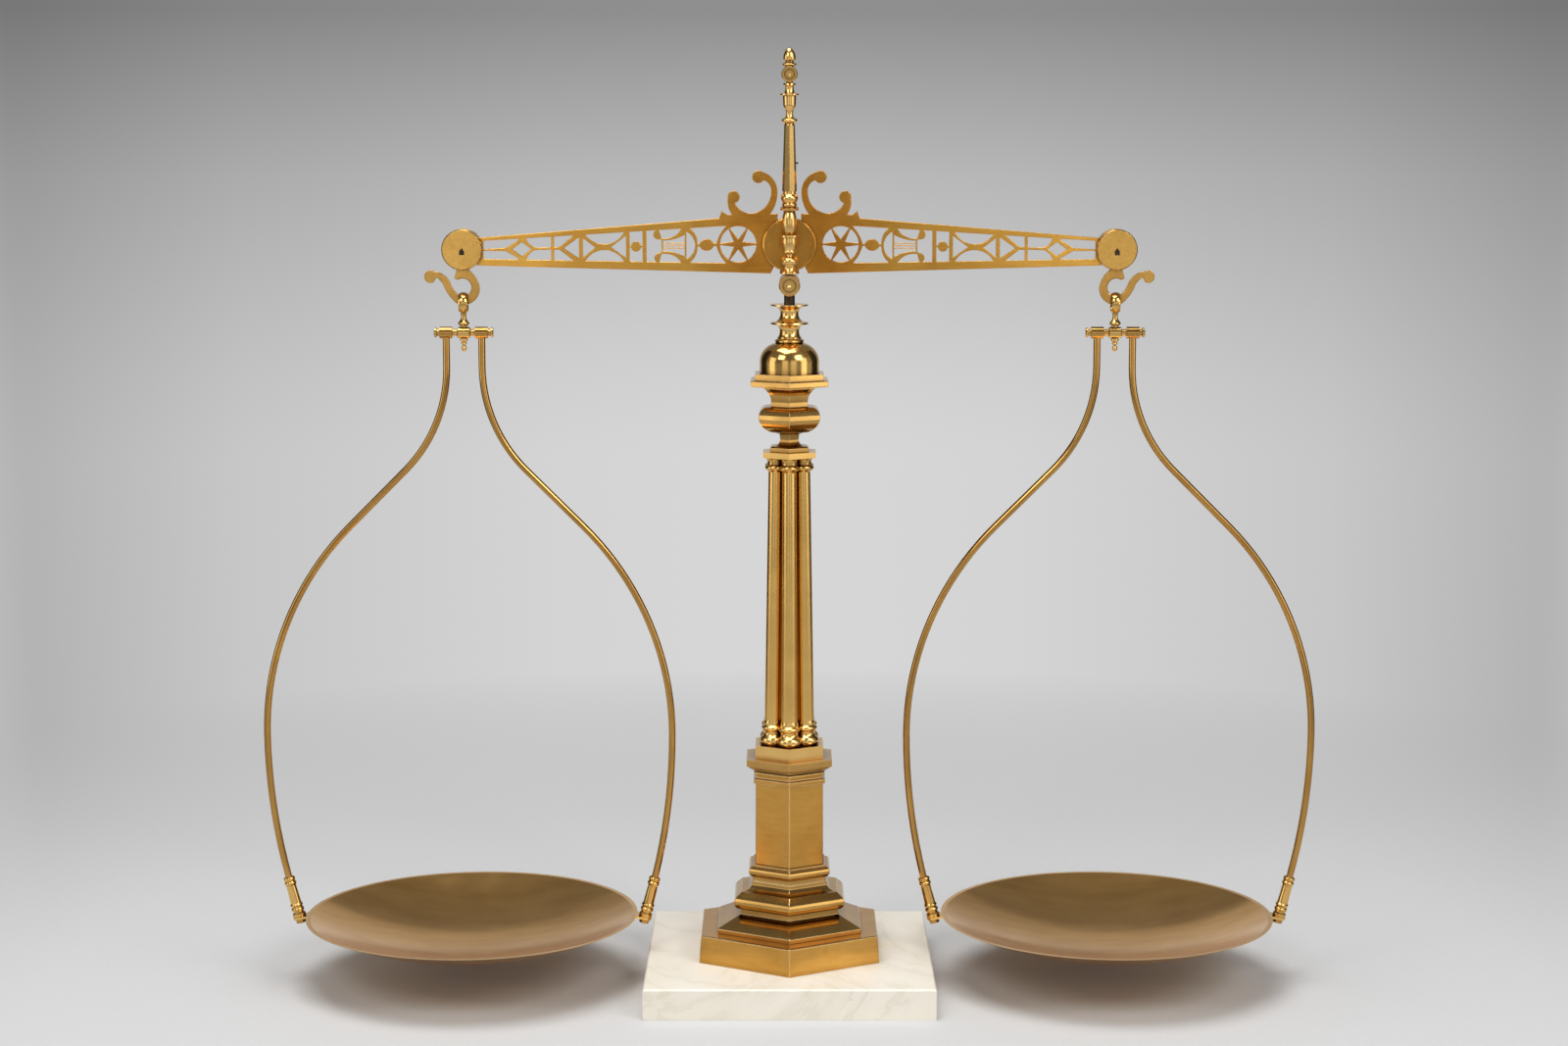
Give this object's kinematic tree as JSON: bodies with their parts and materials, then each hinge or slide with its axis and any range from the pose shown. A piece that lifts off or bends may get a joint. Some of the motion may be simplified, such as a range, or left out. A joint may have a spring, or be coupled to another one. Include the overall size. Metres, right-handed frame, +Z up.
{
  "type": "balance scale",
  "caption": "Antique brass equal-arm counter balance: fretted beam on a clustered column over a stepped base and marble slab, with pans hung from wire bows to weigh goods.",
  "frame": {"origin": "middle of the slab's underside", "axes": "+X along the beam to the right pan as seen from the front, +Y from front to back, +Z up"},
  "size_m": [0.7518, 0.238, 0.6649],
  "materials": {
    "marble": "honed white marble with faint grey veins",
    "polished_brass": "polished, slightly worn",
    "satin_brass": "satin, brushed",
    "aged_brass": "brown patina",
    "steel": "darkened steel"
  },
  "bodies": {
    "stand": {"marble_slab": "marble", "hex_plinth": "polished_brass", "stepped_base": "polished_brass", "pedestal": "satin_brass", "pedestal_cornice": "polished_brass", "column_foot": "polished_brass", "column_shaft": "polished_brass", "column_capital": "polished_brass", "hex_vase": "polished_brass", "hex_collar": "polished_brass", "dome_cap": "polished_brass", "neck_spool": "polished_brass", "tie_rod": "steel", "tie_rod_washer": "steel", "tie_rod_nut": "steel", "yoke_stem": "steel", "lower_crosshead": "polished_brass", "upper_crosshead": "polished_brass", "front_spindle": "polished_brass", "rear_spindle": "polished_brass", "front_finial": "polished_brass", "rear_finial": "polished_brass", "front_bearing": "steel", "rear_bearing": "steel", "index_pin": "steel"},
    "beam": {"beam_plate": "satin_brass", "front_centre_boss": "satin_brass", "rear_centre_boss": "satin_brass", "centre_knife": "steel", "centre_rivets": "satin_brass", "tongue": "satin_brass", "left_front_cheek": "satin_brass", "left_rear_cheek": "satin_brass", "right_front_cheek": "satin_brass", "right_rear_cheek": "satin_brass", "left_end_knife": "steel", "right_end_knife": "steel", "left_end_rivets": "satin_brass", "right_end_rivets": "satin_brass"},
    "left_hook": {"left_hook": "polished_brass"},
    "left_eye": {"left_swivel_eye": "polished_brass", "left_drop_finial": "polished_brass"},
    "left_stirrup": {"left_bow_bar": "polished_brass", "left_inner_leg": "polished_brass", "left_outer_leg": "polished_brass", "left_inner_socket": "polished_brass", "left_outer_socket": "polished_brass", "left_socket_nuts": "polished_brass", "left_pan": "aged_brass"},
    "right_hook": {"right_hook": "polished_brass"},
    "right_eye": {"right_swivel_eye": "polished_brass", "right_drop_finial": "polished_brass"},
    "right_stirrup": {"right_bow_bar": "polished_brass", "right_inner_leg": "polished_brass", "right_outer_leg": "polished_brass", "right_inner_socket": "polished_brass", "right_outer_socket": "polished_brass", "right_socket_nuts": "polished_brass", "right_pan": "aged_brass"}
  },
  "joints": [
    {"name": "beam_rock", "type": "hinge", "parent": "stand", "child": "beam", "pos_m": [0, 0, 0.5292], "axis": [0, 1, 0], "range_deg": [-4, 4]},
    {"name": "left_hook_swing", "type": "hinge", "parent": "beam", "child": "left_hook", "pos_m": [-0.2286, 0, 0.5265], "axis": [0, 1, 0], "range_deg": [-4, 15]},
    {"name": "left_eye_rock", "type": "hinge", "parent": "left_hook", "child": "left_eye", "pos_m": [-0.2286, 0, 0.49329], "axis": [1, 0, 0], "range_deg": [-8, 8]},
    {"name": "left_stirrup_swivel", "type": "hinge", "parent": "left_eye", "child": "left_stirrup", "pos_m": [-0.2286, 0, 0.4675], "axis": [0, 0, 1], "continuous": true},
    {"name": "right_hook_swing", "type": "hinge", "parent": "beam", "child": "right_hook", "pos_m": [0.2286, 0, 0.5265], "axis": [0, 1, 0], "range_deg": [-15, 4]},
    {"name": "right_eye_rock", "type": "hinge", "parent": "right_hook", "child": "right_eye", "pos_m": [0.2286, 0, 0.49329], "axis": [1, 0, 0], "range_deg": [-8, 8]},
    {"name": "right_stirrup_swivel", "type": "hinge", "parent": "right_eye", "child": "right_stirrup", "pos_m": [0.2286, 0, 0.4675], "axis": [0, 0, 1], "continuous": true}
  ]
}
